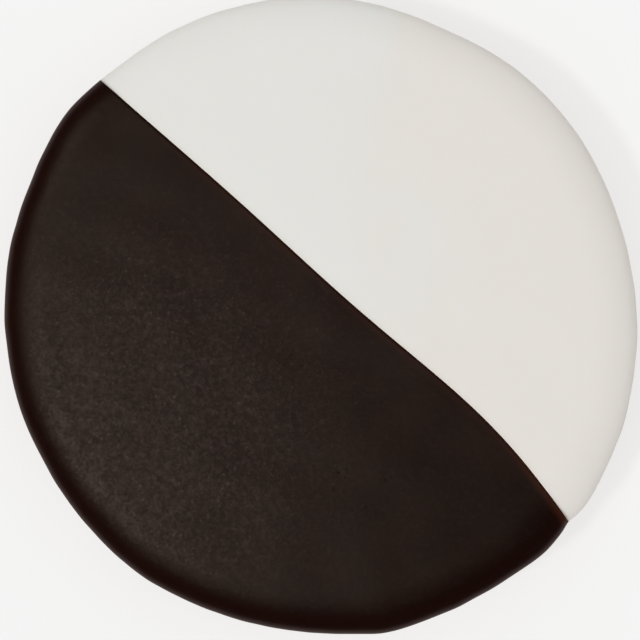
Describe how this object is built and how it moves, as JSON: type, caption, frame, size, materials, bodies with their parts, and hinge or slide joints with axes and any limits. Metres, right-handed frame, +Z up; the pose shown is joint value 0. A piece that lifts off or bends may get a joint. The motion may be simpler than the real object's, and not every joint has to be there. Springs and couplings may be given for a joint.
{
  "type": "black and white cookie",
  "caption": "Round flat cookie with a domed baked underside and a smooth top, one half iced white and the other half dark chocolate, divided by a gently curved line.",
  "frame": {"origin": "centre of the bounding box's bottom face, in the middle of the flat foot under the dome", "axes": "+Z up through the iced side; seen from above with +X to the right and +Y up the chocolate half is at the lower left and the white half at the upper right"},
  "size_m": [0.1074, 0.1081, 0.017],
  "materials": {
    "baked_cake": "matte baked crust",
    "white_icing": "satin set icing",
    "chocolate_icing": "satin set icing"
  },
  "bodies": {
    "root": {"cookie_base": "baked_cake", "white_icing": "white_icing", "chocolate_icing": "chocolate_icing"}
  },
  "joints": []
}
